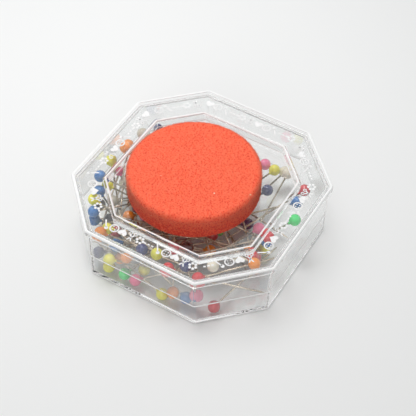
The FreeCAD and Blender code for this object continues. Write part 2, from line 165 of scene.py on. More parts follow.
def add_node(tree, kind, **values):
    """A node with its properties and input values set, and a link for each input given a socket."""
    node = tree.nodes.new(kind)
    for name, value in values.items():
        if name in node.bl_rna.properties:
            setattr(node, name, value)
            continue
        socket = node.inputs[name.replace("_", " ")]
        if isinstance(value, bpy.types.NodeSocket):
            tree.links.new(value, socket)
        else:
            socket.default_value = value
    return node


def object_coordinates(tree):
    """Places in the piece's own space, in metres, so that a pattern stays on the piece as it moves."""
    return add_node(tree, "ShaderNodeTexCoord").outputs["Object"]


def ramp(tree, factor, stops):
    """A colour ramp with the given positions and colours, driven by a factor."""
    node = add_node(tree, "ShaderNodeValToRGB", Fac=factor)
    elements = node.color_ramp.elements
    while len(elements) < len(stops):
        elements.new(0.5)
    for element, (position, colour) in zip(elements, stops):
        element.position = position
        element.color = (*colour, 1.0)
    return node.outputs["Color"]


# %% [markdown]
# ## Clear polystyrene
#
# The box is moulded in crystal polystyrene: glossy, nearly colourless, with a refractive index of 1.59.
# Light bends in it, so its thick rims show as bright and dark lines. Its faces are as smooth as the polished
# mould.
#
# Rays that only carry light to other surfaces, which are shadow rays and diffuse ones, go straight through
# a plain transparent shader. So the light of the lamps and the surround reaches the pins instead of
# stopping at a wall.
#
# The bright lines along the rounded edges are painted highlights. The edges have a second finish: the same
# plastic, mostly white and rough with a fine grain of scratches, which shows as a bright line from any side.
# It stands in for the bright line that light bent and mirrored in a rounded edge makes. It also lets less
# light through than the clear faces, so the edges cast darker shadows.

# %% Let light through a surface
def let_light_through(tree, surface, tint):
    """Send shadow rays and diffuse rays straight through, tinted, and all other rays to the surface."""
    through = add_node(tree, "ShaderNodeBsdfTransparent", Color=(*tint, 1.0))
    rays = add_node(tree, "ShaderNodeLightPath")
    for kind in ("Is Shadow Ray", "Is Diffuse Ray"):
        mixed = add_node(tree, "ShaderNodeMixShader", Fac=rays.outputs[kind])
        tree.links.new(surface, mixed.inputs[1])
        tree.links.new(through.outputs["BSDF"], mixed.inputs[2])
        surface = mixed.outputs["Shader"]
    tree.links.new(surface, tree.nodes["Material Output"].inputs["Surface"])


# %% Make the clear plastic and its edges with painted highlights
POLYSTYRENE_IOR = 1.59
CLEAR_TINT = (0.985, 0.987, 0.986)
# The painted edges let less light through than the clear faces, so their shadows are darker.
EDGE_SHADOW_TINT = (0.65, 0.65, 0.65)


def clear_plastic():
    """Polished plastic that passes nearly all light."""
    material, tree, shader = start_material(
        "clear_polystyrene",
        Base_Color=(0.985, 0.99, 0.99, 1.0),
        Roughness=0.0,
        IOR=POLYSTYRENE_IOR,
        Transmission_Weight=1.0,
    )
    let_light_through(tree, shader.outputs["BSDF"], CLEAR_TINT)
    return material


def painted_highlight_plastic():
    """Painted highlight: mostly white and rough, with a fine grain of scratches in its tint and its bump."""
    material, tree, shader = start_material(
        "painted_highlight_polystyrene",
        Roughness=0.35,
        IOR=POLYSTYRENE_IOR,
        Transmission_Weight=0.15,
    )
    highlight_grain = add_node(tree, "ShaderNodeTexNoise", Vector=object_coordinates(tree), Scale=800.0, Detail=4.0)
    tint = ramp(tree, highlight_grain.outputs["Fac"], [(0.3, (0.93, 0.935, 0.93)), (0.65, (1.0, 1.0, 1.0))])
    tree.links.new(tint, shader.inputs["Base Color"])
    bump = add_node(tree, "ShaderNodeBump", Strength=0.08, Distance=0.00005, Height=highlight_grain.outputs["Fac"])
    tree.links.new(bump.outputs["Normal"], shader.inputs["Normal"])
    let_light_through(tree, shader.outputs["BSDF"], EDGE_SHADOW_TINT)
    return material


CLEAR = clear_plastic()
PAINTED_HIGHLIGHT = painted_highlight_plastic()
print("plastics:", CLEAR.name, "and", PAINTED_HIGHLIGHT.name)

# %% [markdown]
# ## Tray and lid
#
# Both halves of the box are thin shells that follow one octagon. Such a shell is a profile, drawn across
# the wall, and carried round the octagon. Long sides and corner sides alternate, and the upright corners
# are small arcs. The profile's own corners are rounded too, by what the mould and the handling leave.
#
# The profile is given by its corners. Each has a distance outwards from the rim's outline, a height, a
# rounding radius, the radius of the box's upright corners at that point, and where a painted highlight goes:
# nowhere (0), on the rounded edge (1), or on the edge and the stretch that follows it (2). A point where the
# profile goes straight on only ends such a stretch.

# %% Round the corners of a profile
ARC_STEPS = 6
STRAIGHT_ON = 1e-6


def rounded_profile(corners):
    """Points, normals and corner numbers along a profile whose corners become arcs.

    At each corner the arc's centre lies one radius inside both neighbouring edges, and its points are the
    centre plus the radius times a normal that turns evenly from the first edge's to the second's.
    """
    corners = np.array(corners, float)
    places = corners[:, :2]
    along = np.diff(places, axis=0)
    along /= np.linalg.norm(along, axis=1, keepdims=True)
    normals = np.stack([-along[:, 1], along[:, 0]], axis=1)
    points, point_normals = [places[:1]], [normals[:1]]
    for i in range(1, len(corners) - 1):
        before, after, radius = normals[i - 1], normals[i], corners[i, 2]
        turn = np.arctan2(before[0] * after[1] - before[1] * after[0], before @ after)
        if abs(turn) < STRAIGHT_ON:
            points.append(places[i:i + 1])
            point_normals.append(before[None])
            continue
        side = -math.copysign(1.0, turn)
        inside = np.array([before @ places[i], after @ places[i]]) - side * radius
        centre = np.linalg.solve(np.array([before, after]), inside)
        angles = np.arctan2(before[1], before[0]) + turn * np.linspace(0.0, 1.0, ARC_STEPS)
        arc_normals = np.stack([np.cos(angles), np.sin(angles)], axis=1)
        points.append(centre + side * radius * arc_normals)
        point_normals.append(arc_normals)
    points.append(places[-1:])
    point_normals.append(normals[-1:])
    number = np.repeat(np.arange(len(corners)), [len(group) for group in points])
    return np.concatenate(points), np.concatenate(point_normals), number


# %% Carry a profile round the octagon
RIM_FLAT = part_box("lid")[1].x
RIM_CORNER = 41.0 * MM
SIDE_TURN = 45.0


def octagon_rings(profile_out, upright):
    """Points of one ring for each profile point, and the direction each column of points faces.

    Side k faces 45 k degrees. An upright corner's arc is centred where the two sides it joins would
    meet if they were one arc radius further in, and its normals turn from one side's to the next's.
    """
    sides = np.radians(SIDE_TURN * np.arange(8))
    next_sides = sides + np.radians(SIDE_TURN)
    far = np.stack([RIM_FLAT + profile_out, RIM_CORNER + profile_out], axis=1)[:, [0, 1] * 4]
    far = far - upright[:, None]
    next_far = np.roll(far, -1, axis=1)
    sine = math.sin(math.radians(SIDE_TURN))
    centre_x = (far * np.sin(next_sides) - next_far * np.sin(sides)) / sine
    centre_y = (next_far * np.cos(sides) - far * np.cos(next_sides)) / sine
    angles = (sides[:, None] + np.radians(np.linspace(0.0, SIDE_TURN, ARC_STEPS))).ravel()
    centres = np.stack([centre_x, centre_y], axis=-1).repeat(ARC_STEPS, axis=1)
    facing = np.stack([np.cos(angles), np.sin(angles)], axis=-1)
    return centres + upright[:, None, None] * facing, facing


# %% Close the shell and paint highlights on its edges
def octagon_shell(name, corners):
    """A closed shell: the profile carried round the octagon, with both ends closed by a flat face.

    A face gets the painted edge highlight if the corner it starts from asks for it: its arc from 1 on, its
    stretch only at 2.
    """
    profile, profile_normals, number = rounded_profile(corners)
    corners = np.array(corners, float)
    flat_points, facing = octagon_rings(profile[:, 0] * MM, corners[number, 3] * MM)
    rows, columns = flat_points.shape[:2]
    heights = np.repeat(profile[:, 1:] * MM, columns, axis=1)[..., None]
    points = np.concatenate([flat_points, heights], axis=2).reshape(-1, 3)
    outward = profile_normals[:, None, :1] * facing[None]
    upward = np.repeat(profile_normals[:, None, 1:], columns, axis=1)
    normals = np.concatenate([outward, upward], axis=2).reshape(-1, 3)
    faces = [face[::-1] for face in grid_faces(rows, columns)]
    faces.append(list(range(columns)))
    faces.append(list(range((rows - 1) * columns, rows * columns))[::-1])
    piece = new_piece(name, points, faces, CLEAR, normals)
    piece.data.materials.append(PAINTED_HIGHLIGHT)
    # Rows whose faces get the painted edge highlight and its darker shadow.
    wanted = np.where(number[:-1] == number[1:], 1, 2)
    highlighted = corners[number[:-1], 4] >= wanted
    painted_highlight_faces = np.append(np.repeat(highlighted, columns), [False, False])
    piece.data.polygons.foreach_set("material_index", painted_highlight_faces.astype(np.int32))
    print(name, triangle_count(piece), "triangles,", int(painted_highlight_faces.sum()), "scuffed faces")
    return piece


# %% [markdown]
# The lid's profile starts on the floor of its well, climbs to the border, goes over the rim bead and down
# the skirt, and comes back inside. The skirt stops a hair above the tray's ledge, because two clear shells
# that share a face confuse the light. The tray's profile starts on its floor, goes up its thin inner wall,
# down to the ledge that the skirt meets, and down the outside to the bottom.

# %% The lid
PARTING = 0.04
LID_PROFILE = [
    (-14.0, 19.30, 0.00, 0.5, 0),
    (-11.0, 19.30, 0.22, 0.5, 1),
    (-11.0, 22.30, 0.45, 0.5, 2),
    (-10.3, 22.30, 0.00, 0.5, 0),
    (-0.85, 22.30, 0.00, 1.2, 2),
    (0.0, 22.30, 0.50, 1.2, 1),
    (0.0, 20.00, 0.35, 1.2, 1),
    (-1.2, 20.00, 0.20, 1.2, 0),
    (-1.2, 9.45, 0.00, 1.2, 2),
    (-1.2, 9.0 + PARTING, 0.16, 1.2, 1),
    (-1.85, 9.0 + PARTING, 0.12, 0.5, 0),
    (-1.85, 21.10, 0.25, 0.5, 0),
    (-9.8, 21.10, 0.25, 0.6, 0),
    (-9.8, 18.10, 0.40, 0.6, 0),
    (-14.0, 18.10, 0.00, 0.6, 0),
]
lid = octagon_shell("clear_lid", LID_PROFILE)
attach(lid, "lid")
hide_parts("lid")

# %% The tray
TRAY_PROFILE = [
    (-14.0, 1.20, 0.00, 0.5, 0),
    (-2.5, 1.20, 0.40, 0.5, 1),
    (-2.5, 20.70, 0.15, 0.5, 0),
    (-1.95, 20.70, 0.15, 0.5, 0),
    (-1.95, 9.00, 0.06, 0.5, 0),
    (-1.2, 9.00, 0.14, 1.2, 1),
    (-1.2, 0.85, 0.00, 1.2, 2),
    (-1.2, 0.00, 0.45, 1.2, 1),
    (-14.0, 0.00, 0.00, 1.2, 0),
]
tray = octagon_shell("clear_tray", TRAY_PROFILE)
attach(tray, "tray")
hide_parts("tray")

# %% [markdown]
# ## Where the pins lie
#
# The frame holds the heap as nodes of shanks, one node for each head colour. Each separate solid in such a
# node is one shank. Its wide end is the middle of the head, and its narrow end is the point. So the heap is
# read back from the frame, and every pin is made again exactly where it lies.

# %% Read the pins' places
COLOURS = ["white", "yellow", "orange", "red", "pink", "green", "blue", "navy", "black"]
WELD = 1e-6
END_RING = 2e-5


def separate_solids(node):
    """The points of each solid in a node. Points that share a face take the lowest label among them,
    again and again, until nothing changes: then each label is one solid."""
    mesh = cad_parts[node].data
    points = np.empty(len(mesh.vertices) * 3)
    mesh.vertices.foreach_get("co", points)
    mesh.calc_loop_triangles()
    triangles = np.empty(len(mesh.loop_triangles) * 3, np.int32)
    mesh.loop_triangles.foreach_get("vertices", triangles)
    points, welded = np.unique(
        np.round(points.reshape(-1, 3) / WELD).astype(np.int64), axis=0, return_inverse=True
    )
    corners = welded.ravel()[triangles].reshape(-1, 3)
    labels = np.arange(len(points))
    while True:
        lowest = labels[corners].min(axis=1)
        spread = labels.copy()
        for side in range(3):
            np.minimum.at(spread, corners[:, side], lowest)
        spread = spread[spread]
        if (spread == labels).all():
            break
        labels = spread
    return [points[labels == label] * WELD for label in np.unique(labels)]


def pin_line(points):
    """Head centre and pointing direction of one shank, from its two end rings."""
    middle = points.mean(axis=0)
    axis = np.linalg.svd(points - middle, full_matrices=False)[2][0]
    reach = (points - middle) @ axis
    ends = []
    for end in (reach.min(), reach.max()):
        near = points[np.abs(reach - end) < END_RING]
        ends.append((np.ptp(near, axis=0).sum(), near.mean(axis=0)))
    ends.sort(key=lambda end: -end[0])
    head, point = ends[0][1], ends[1][1]
    return head, (point - head) / np.linalg.norm(point - head)


def pin_places(colour):
    """Head centres and directions of one colour's pins, sorted by place, so that the order never changes."""
    lines = [pin_line(points) for points in separate_solids(colour + "_pin_shanks")]
    heads = np.array([head for head, _ in lines])
    directions = np.array([direction for _, direction in lines])
    order = np.lexsort(np.round(heads, 6).T)
    return heads[order], directions[order]


PINS = {colour: pin_places(colour) for colour in COLOURS}
print("pins:", {colour: len(heads) for colour, (heads, _) in PINS.items()})

# %% [markdown]
# ## Pin heads and shanks
#
# A head is a plastic ball moulded over the end of a steel wire, with a short collar where the wire leaves
# it. The shank is drawn wire, ground to a point. Both are solids of revolution. One pattern is turned and
# carried to every place at once, as an array product. Heads of one colour are not quite alike, so each pin
# gets a number of its own, stored on its points, that the material reads as a slight change of tone.

# %% Solids of revolution
def revolved(radii, heights, steps):
    """A profile of radii and heights turned about Z, closed at both ends by a point on the axis."""
    angles = np.linspace(0.0, 2.0 * math.pi, steps, endpoint=False)
    ring = np.stack([np.cos(angles), np.sin(angles)], axis=-1)
    rings = radii[1:-1, None, None] * ring[None]
    heights_grid = np.repeat(heights[1:-1, None, None], steps, axis=1)
    middle = np.concatenate([rings, heights_grid], axis=2).reshape(-1, 3)
    first, last = [[0.0, 0.0, heights[0]]], [[0.0, 0.0, heights[-1]]]
    points = np.concatenate([middle, first, last])
    rows = len(radii) - 2
    quads = grid_faces(rows, steps)
    step = np.arange(steps)
    following = (step + 1) % steps
    bottom = np.stack([np.full(steps, rows * steps), following, step], axis=1)
    base = (rows - 1) * steps
    top = np.stack([np.full(steps, rows * steps + 1), base + step, base + following], axis=1)
    return points, [*quads, *bottom, *top]


# %% One head and one shank
HEAD_RADIUS = 2.0 * MM
COLLAR_RADIUS = 0.45 * MM
COLLAR_END = 2.45 * MM
HEAD_STEPS, SHANK_STEPS = 20, 10
SHANK_RADIUS = 0.3 * MM
SHANK_START = 1.0 * MM
SHANK_REACH = 32.0 * MM
POINT_LENGTH = 2.4 * MM


def head_pattern():
    """A ball from its far pole to where it meets the collar, then the collar down to the wire."""
    last = math.pi - math.asin(COLLAR_RADIUS / HEAD_RADIUS)
    turn = np.linspace(0.0, last, 13)
    radii = np.append(HEAD_RADIUS * np.sin(turn), [COLLAR_RADIUS, 0.9 * COLLAR_RADIUS, 0.0])
    heights = np.append(-HEAD_RADIUS * np.cos(turn), [COLLAR_END - 0.1 * MM, COLLAR_END, COLLAR_END])
    return revolved(radii, heights, HEAD_STEPS)


def shank_pattern():
    """A wire whose last stretch narrows as the 0.7th power of what is left, as a ground point does."""
    left = np.array([0.75, 0.5, 0.25, 0.08])
    radii = np.concatenate([[0.0, SHANK_RADIUS, SHANK_RADIUS], SHANK_RADIUS * left**0.7, [0.0]])
    straight = [SHANK_START, SHANK_START, SHANK_REACH - POINT_LENGTH]
    heights = np.concatenate([straight, SHANK_REACH - POINT_LENGTH * left, [SHANK_REACH]])
    return revolved(radii, heights, SHANK_STEPS)


# %% Carry a pattern to every pin
def turned_to(directions):
    """For each direction, a matrix whose third column is it and whose other columns are square to it."""
    level = np.cross(directions, [0.0, 0.0, 1.0])
    level /= np.linalg.norm(level, axis=1, keepdims=True)
    return np.stack([level, np.cross(directions, level), directions], axis=2)


def repeated(name, pattern, heads, directions, material, tones):
    """One object with the pattern turned and carried to each pin, and each pin's tone on its points."""
    points, faces = pattern
    placed = np.einsum("kij,pj->kpi", turned_to(directions), points) + heads[:, None, :]
    starts = np.arange(len(heads)) * len(points)
    all_faces = [[number + start for number in face] for start in starts for face in faces]
    piece = new_piece(name, placed.reshape(-1, 3), all_faces, material)
    tone = piece.data.attributes.new("tone", "FLOAT", "POINT")
    tone.data.foreach_set("value", np.repeat(tones, len(points)).astype(np.float32))
    return piece


# %% [markdown]
# Heads are moulded from coloured plastic, so the colour goes right through, with faint swirls where it
# didn't mix evenly. The wire is plated steel, which is bright, with duller streaks along it. Its colour here
# is darker and browner than the steel's own: a painted reflection of the dark, brown heap round the shanks.
# Both patterns are noise in object space, because a ball or a wire this small needs no unwrapping.

# %% Head and steel finishes
SWIRL_SHARE = 0.35
DARKER, LIGHTER = 0.80, 1.12
HEAD_COLOURS = {
    "white": (0.80, 0.74, 0.60),
    "yellow": (0.80, 0.75, 0.02),
    "orange": (0.92, 0.27, 0.01),
    "red": (0.62, 0.01, 0.02),
    "pink": (0.86, 0.15, 0.31),
    "green": (0.04, 0.72, 0.17),
    "blue": (0.01, 0.15, 0.44),
    "navy": (0.012, 0.02, 0.13),
    "black": (0.012, 0.012, 0.015),
}


def head_finish(colour, base):
    """Glossy moulded plastic: a little light passes under the skin, and each head has its own tone."""
    material, tree, shader = start_material(
        colour + "_head_plastic",
        Roughness=0.16,
        IOR=1.5,
        Subsurface_Weight=0.12,
        Subsurface_Radius=(0.6, 0.4, 0.3),
        Subsurface_Scale=0.0008,
        Coat_Weight=0.4,
        Coat_Roughness=0.05,
    )
    tone = add_node(tree, "ShaderNodeAttribute", attribute_name="tone").outputs["Fac"]
    swirl = add_node(tree, "ShaderNodeTexNoise", Vector=object_coordinates(tree), Scale=700.0, Detail=3.0)
    both = add_node(tree, "ShaderNodeMath", operation="MULTIPLY_ADD")
    tree.links.new(swirl.outputs["Fac"], both.inputs[0])
    both.inputs[1].default_value = SWIRL_SHARE
    tree.links.new(tone, both.inputs[2])
    darker = tuple(DARKER * value for value in base)
    lighter = tuple(min(1.0, LIGHTER * value + 0.01) for value in base)
    colour_out = ramp(tree, both.outputs[0], [(0.1, darker), (1.1, lighter)])
    tree.links.new(colour_out, shader.inputs["Base Color"])
    bump = add_node(tree, "ShaderNodeBump", Strength=0.08, Distance=0.00005, Height=swirl.outputs["Fac"])
    tree.links.new(bump.outputs["Normal"], shader.inputs["Normal"])
    return material


def steel_finish():
    """Drawn and plated wire with streaks of polish; its dark brown is a painted reflection of the heap."""
    material, tree, shader = start_material("pin_steel", Metallic=1.0)
    streak = add_node(tree, "ShaderNodeTexNoise", Vector=object_coordinates(tree), Scale=220.0, Detail=5.0)
    # Painted reflection: both ends are darker and browner than steel's own colour, for the dark, brown heap
    # that the shanks mirror.
    tint = ramp(tree, streak.outputs["Fac"], [(0.3, (0.26, 0.20, 0.13)), (0.7, (0.66, 0.58, 0.47))])
    tree.links.new(tint, shader.inputs["Base Color"])
    rough = add_node(tree, "ShaderNodeMapRange", Value=streak.outputs["Fac"], To_Min=0.18, To_Max=0.38)
    tree.links.new(rough.outputs["Result"], shader.inputs["Roughness"])
    return material


# %% Put a head and a shank at every place
def make_pins():
    """For each colour, one piece of heads and one of shanks, which stay with the tray."""
    steel = steel_finish()
    heads_pattern, wire_pattern = head_pattern(), shank_pattern()
    draw = np.random.default_rng(3)
    for colour, (heads, directions) in PINS.items():
        tones = draw.uniform(0.0, 1.0, len(heads))
        finish = head_finish(colour, HEAD_COLOURS[colour])
        balls = repeated(colour + "_heads", heads_pattern, heads, directions, finish, tones)
        wires = repeated(colour + "_shanks", wire_pattern, heads, directions, steel, tones)
        for piece, node, slot in (
            (balls, colour + "_pin_heads", colour + "_heads"),
            (wires, colour + "_pin_shanks", "pin_steel"),
        ):
            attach(piece, "tray")
            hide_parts(node)
    print("one head:", len(heads_pattern[1]), "faces, one shank:", len(wire_pattern[1]), "faces")


make_pins()

# %% [markdown]
# ## The foam cushion
#
# The cushion is a disc stamped from a sheet of fine open-cell foam. Its cut faces are full of open cells, so
# under light it looks like velvet: bright struts round dark pits, with a soft outline. The stamp squeezes
# the sheet as it cuts, so the side is slightly waisted, and the upper edge is a little rounded.
#
# The top is a square grid carried onto a disc, which keeps its cells nearly equal. The side continues it as
# a band. The pits are a cell pattern in space: the distance from each point to the nearest of many
# scattered centres. Cloth simulation isn't needed, because a cut block of foam has no cover and no seams.

# %% Numbers that look random and never change
def hashed(cells, seed):
    """A repeatable number from 0 to 1 for each whole-number cell, by mixing its coordinates' bits."""
    mixed = cells[..., 0] * 73856093 ^ cells[..., 1] * 19349663 ^ cells[..., 2] * 83492791
    mixed = mixed ^ seed * 2654435761
    mixed = (mixed ^ (mixed >> 13)) * 1274126177
    return ((mixed ^ (mixed >> 16)) & 0xFFFFFF) / float(0x1000000)


# %% Cells and noise
def cell_distance(points, size, seed):
    """Distance from each point, in cell sizes, to the nearest scattered centre: one centre in each cell."""
    scaled = points / size
    cells = np.floor(scaled).astype(np.int64)
    nearest = np.full(len(points), np.inf)
    for step in np.ndindex(3, 3, 3):
        cell = cells + np.array(step) - 1
        centre = cell + np.stack([hashed(cell, seed + axis) for axis in range(3)], axis=-1)
        nearest = np.minimum(nearest, np.linalg.norm(scaled - centre, axis=1))
    return nearest


def smooth_noise(points, size, seed):
    """Random values from -0.5 to 0.5 on a lattice, blended between its corners with a smooth step."""
    scaled = points / size
    cells = np.floor(scaled).astype(np.int64)
    part = scaled - cells
    part = part * part * (3.0 - 2.0 * part)
    total = np.zeros(len(points))
    for step in np.ndindex(2, 2, 2):
        weight = np.prod(np.where(step, part, 1.0 - part), axis=1)
        total += weight * hashed(cells + np.array(step), seed)
    return total - 0.5


# %% A disc made of a square grid
def disc_from_square(count):
    """A square grid carried onto a unit disc: each square ring becomes a circle of the same half-width."""
    line = np.linspace(-1.0, 1.0, count)
    x, y = np.meshgrid(line, line, indexing="ij")
    wide = np.abs(x) >= np.abs(y)
    radius = np.where(wide, x, y)
    safe = np.where(radius == 0.0, 1.0, radius)
    angle = np.where(wide, y / safe * (math.pi / 4), math.pi / 2 - x / safe * (math.pi / 4))
    return np.stack([radius * np.cos(angle), radius * np.sin(angle)], axis=-1)


def square_rim(count):
    """Numbers of the grid's outer points, anticlockwise."""
    grid = np.arange(count * count).reshape(count, count)
    return np.concatenate([grid[:-1, 0], grid[-1, :-1], grid[:0:-1, -1], grid[0, :0:-1]])


# %% [markdown]
# Under a lens the cut face bristles with the ends of cell walls. They are what makes the outline soft, so
# thousands of them stand on the rounded edge and the side, as spikes with four faces each. Hair particles
# could do this too, but plain geometry stays in the exported mesh.

# %% Cut ends of cell walls
STRUT_COUNT = 13000
STRUT_LENGTH = 0.8 * MM
STRUT_RADIUS = 0.05 * MM
STRUT_ROOT = 0.06 * MM
STRUT_LEAN = 0.45


def cut_struts(points, normals, first):
    """Short pointed ends of cut cell walls, as four-cornered spikes rooted just under the surface.

    Three corners stand round the root at a third of a turn each, and the fourth is the tip, one length
    out along a direction that is the surface's normal plus a random lean.
    """
    draw = np.random.default_rng(11)
    chosen = draw.choice(len(points), STRUT_COUNT, replace=False)
    roots = points[chosen] - STRUT_ROOT * normals[chosen]
    lean = normals[chosen] + draw.normal(0.0, STRUT_LEAN, (STRUT_COUNT, 3))
    lean /= np.linalg.norm(lean, axis=1, keepdims=True)
    side = np.cross(lean, draw.normal(0.0, 1.0, (STRUT_COUNT, 3)))
    side /= np.linalg.norm(side, axis=1, keepdims=True)
    turns = 2.0 * math.pi * np.arange(3) / 3
    other = np.cross(lean, side)
    round_root = np.cos(turns)[:, None] * side[:, None] + np.sin(turns)[:, None] * other[:, None]
    feet = roots[:, None] + STRUT_RADIUS * round_root
    tips = roots + lean * draw.uniform(0.5, 1.0, STRUT_COUNT)[:, None] * STRUT_LENGTH
    spikes = np.concatenate([feet, tips[:, None]], axis=1).reshape(-1, 3)
    sides = np.array([(0, 1, 3), (1, 2, 3), (2, 0, 3), (2, 1, 0)])
    faces = first + 4 * np.arange(STRUT_COUNT)[:, None, None] + sides[None]
    return spikes, faces.reshape(-1, 3)


# %% The foam's smooth shape
FOAM_LOW, FOAM_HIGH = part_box("foam_cushion")
FOAM_RADIUS = (FOAM_HIGH.x - FOAM_LOW.x) / 2
FOAM_TALL = FOAM_HIGH.z - FOAM_LOW.z
FOAM_GRID = 209
FOAM_ROWS = 30
FOAM_EDGE = 1.5 * MM
FOAM_WAIST = 0.35 * MM


def foam_band(facing, flat_radius):
    """Points and normals of the rounded edge and the side below it, as rows that go down from the top.

    The edge is a quarter circle. The side's radius is the disc's less a half wave of sine, which is the
    waist. Each row faces out by the sine of its lean and up by the cosine.
    """
    arc = np.linspace(0.0, math.pi / 2, 7)[1:]
    fall = np.linspace(FOAM_EDGE, FOAM_TALL, FOAM_ROWS)[1:]
    waist = FOAM_WAIST * np.sin(math.pi * (fall - FOAM_EDGE) / (FOAM_TALL - FOAM_EDGE))
    out = np.concatenate([flat_radius + FOAM_EDGE * np.sin(arc), FOAM_RADIUS - waist])
    drop = np.concatenate([FOAM_EDGE * (1.0 - np.cos(arc)), fall])
    lean = np.concatenate([arc, np.full(len(fall), math.pi / 2)])
    columns = len(facing)
    rings = facing[None] * out[:, None, None]
    band = np.concatenate([rings, np.repeat(-drop[:, None, None], columns, axis=1)], axis=2)
    outward = facing[None] * np.sin(lean)[:, None, None]
    upward = np.repeat(np.cos(lean)[:, None, None], columns, axis=1)
    return band, np.concatenate([outward, upward], axis=2)


# %% The foam's cells, pits and shade
PIT_CELL, PIT_REACH, PIT_DEPTH = 0.55 * MM, 0.62, 0.12 * MM
FINE_CELL, FINE_HEIGHT = 0.26 * MM, 0.26 * MM
BROAD_CELL, BROAD_HEIGHT = 7.0 * MM, 0.22 * MM
FOAM_SINK = 0.05 * MM
FOOT_LIFT = 0.01 * MM
# Painted shade at the foot of the side, on top of the pits' painted shade.
SIDE_SHADE = 0.45


def foam_cushion(material):
    """Top disc, rounded edge, waisted side and flat bottom, pushed in and out by cells and noise.

    The push is minus the pits' depth, plus fine and broad noise, less a small sink, because the cut ends
    stand out from the surface again. The lowest row stays where it is.
    """
    flat_radius = FOAM_RADIUS - FOAM_EDGE
    top = disc_from_square(FOAM_GRID) * flat_radius
    top = np.concatenate([top.reshape(-1, 2), np.zeros((FOAM_GRID**2, 1))], axis=1)
    rim = square_rim(FOAM_GRID)
    facing = top[rim, :2] / np.linalg.norm(top[rim, :2], axis=1, keepdims=True)
    band, band_normals = foam_band(facing, flat_radius)
    points = np.concatenate([top, band.reshape(-1, 3)])
    normals = np.concatenate([np.tile([0.0, 0.0, 1.0], (len(top), 1)), band_normals.reshape(-1, 3)])
    points += np.array([(FOAM_LOW.x + FOAM_HIGH.x) / 2, (FOAM_LOW.y + FOAM_HIGH.y) / 2, FOAM_HIGH.z])
    pits = np.clip(1.0 - cell_distance(points, PIT_CELL, 5) / PIT_REACH, 0.0, 1.0)
    fine = smooth_noise(points, FINE_CELL, 9)
    broad = smooth_noise(points, BROAD_CELL, 21)
    push = -PIT_DEPTH * pits**1.3 + FINE_HEIGHT * fine + BROAD_HEIGHT * broad - FOAM_SINK
    push[-len(rim):] = 0.0
    points = points + normals * push[:, None]
    points[-len(rim):, 2] = FOAM_LOW.z + FOOT_LIFT

    rows = len(band)
    top_faces = grid_faces(FOAM_GRID, FOAM_GRID, wrap=False)[:, ::-1]
    numbers = np.concatenate([rim[None], len(top) + np.arange(rows * len(rim)).reshape(rows, -1)])
    band_faces = numbers.ravel()[grid_faces(rows + 1, len(rim))][:, ::-1]
    bottom = [list(numbers[-1][::-1])]
    side = slice(len(top), len(points) - len(rim))
    spikes, spike_faces = cut_struts(points[side], normals[side], len(points))
    faces = [*top_faces, *band_faces, *bottom, *spike_faces]
    piece = new_piece("foam_disc", np.concatenate([points, spikes]), faces, material)
    # Painted shade for the colour: each pit's, plus more the further below the top a point lies, so that the
    # side gets darker red towards the bottom.
    height_lost = (FOAM_HIGH.z - np.append(points[:, 2], spikes[:, 2])) / FOAM_TALL
    shade = np.append(pits, np.zeros(len(spikes))) + SIDE_SHADE * np.clip(height_lost, 0.0, 1.0) ** 0.7
    depth = piece.data.attributes.new("pit_and_side_shade", "FLOAT", "POINT")
    depth.data.foreach_set("value", shade.astype(np.float32))
    return piece


# %% [markdown]
# The foam is dyed through, so its own colour is one coral. Its deeper reds are painted shade: a pit gets
# less light, so the pits are painted deeper red, and the side is painted darker red the further below the
# top it lies. Each point carries how much painted shade it has, and the finish reads that and adds a grain
# finer than the mesh. Sheen brightens the edges, where one looks along the struts and not into the cells.

# %% Coral foam
GRAIN_SHARE = 0.7
# The foam's own coral first, then deeper reds that are painted shade for the pits and the lower side.
FOAM_COLOUR_AND_SHADE = [(0.3, (0.985, 0.19, 0.102)), (0.8, (0.95, 0.13, 0.066)), (1.6, (0.74, 0.035, 0.024))]
DUST = (1.0, 0.72, 0.55, 1.0)


def foam_finish():
    """Coral foam: painted shade makes pits and low side deeper red, struts lighter; pale specks of dust."""
    material, tree, shader = start_material(
        "coral_foam",
        Roughness=0.95,
        Specular_IOR_Level=0.15,
        Sheen_Weight=0.7,
        Sheen_Roughness=0.4,
        Sheen_Tint=(1.0, 0.55, 0.42, 1.0),
        Subsurface_Weight=0.25,
        Subsurface_Radius=(1.0, 0.25, 0.12),
        Subsurface_Scale=0.0012,
    )
    place = object_coordinates(tree)
    # The painted shade that each point carries, with the grain added to it.
    pit_and_side_shade = add_node(tree, "ShaderNodeAttribute", attribute_name="pit_and_side_shade").outputs["Fac"]
    grain = add_node(tree, "ShaderNodeTexNoise", Vector=place, Scale=1500.0, Detail=3.0, Roughness=0.7)
    depth = add_node(tree, "ShaderNodeMath", operation="MULTIPLY_ADD")
    tree.links.new(grain.outputs["Fac"], depth.inputs[0])
    depth.inputs[1].default_value = GRAIN_SHARE
    tree.links.new(pit_and_side_shade, depth.inputs[2])
    tint = ramp(tree, depth.outputs[0], FOAM_COLOUR_AND_SHADE)
    specks = add_node(tree, "ShaderNodeTexVoronoi", Vector=place, Scale=170.0)
    pale = ramp(tree, specks.outputs["Distance"], [(0.035, (1.0,) * 3), (0.06, (0.0,) * 3)])
    mixed = add_node(tree, "ShaderNodeMixRGB", Fac=pale, Color1=tint, Color2=DUST)
    tree.links.new(mixed.outputs[0], shader.inputs["Base Color"])
    bump = add_node(tree, "ShaderNodeBump", Strength=0.6, Distance=0.0002, Height=grain.outputs["Fac"])
    tree.links.new(bump.outputs["Normal"], shader.inputs["Normal"])
    return material


# %% Make the foam
foam = foam_cushion(foam_finish())
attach(foam, "lid")
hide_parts("foam_cushion")
print("foam", triangle_count(foam), "triangles")

# %% [markdown]
# ## The adhesive disc
#
# A double-sided film holds the foam in the well. From below it shows through the clear floor as a pale
# disc with a faint weave of trapped air.

